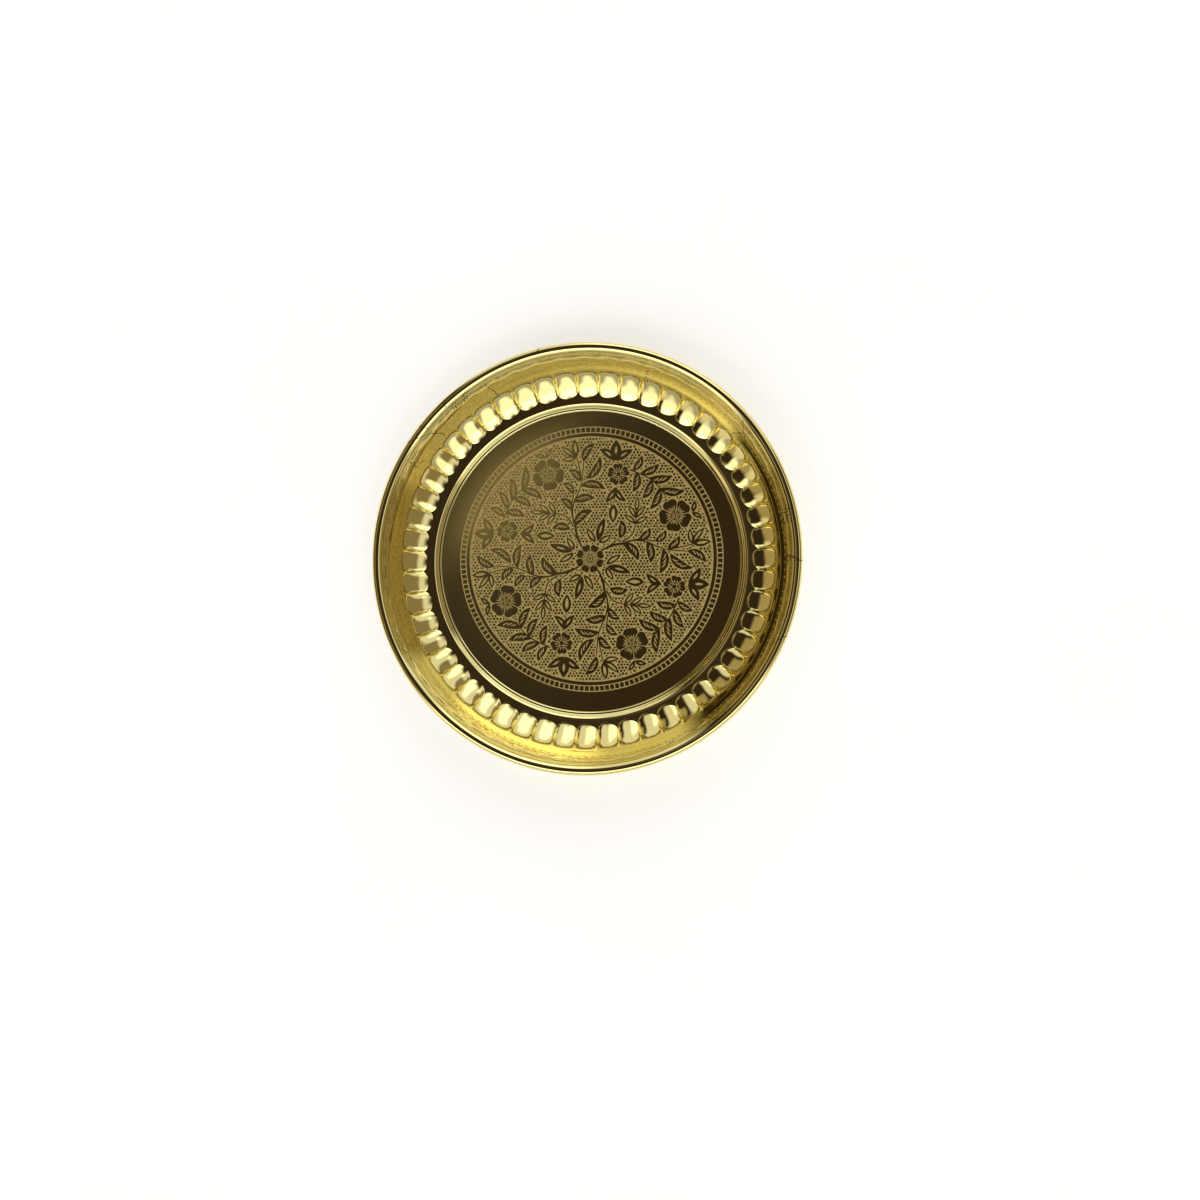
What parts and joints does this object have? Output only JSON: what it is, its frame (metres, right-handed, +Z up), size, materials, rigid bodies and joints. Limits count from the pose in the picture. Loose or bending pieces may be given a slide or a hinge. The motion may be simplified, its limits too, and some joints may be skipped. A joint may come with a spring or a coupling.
{
  "type": "thali plate",
  "caption": "Round pressed brass thali with a flat floor, a stepped ledge, a fluted sloping wall and an edge rolled over a stiffening wire.",
  "frame": {"origin": "centre of the flat underside, on the plane the plate rests on", "axes": "+Z up along the plate's axis; +X to the right and +Y to the top of the picture"},
  "size_m": [0.203, 0.203, 0.0233],
  "materials": {
    "dish": "polished, gold lacquered",
    "rim_wire": "plain drawn wire"
  },
  "bodies": {
    "root": {"dish": "dish", "rim_wire": "rim_wire"}
  },
  "joints": []
}
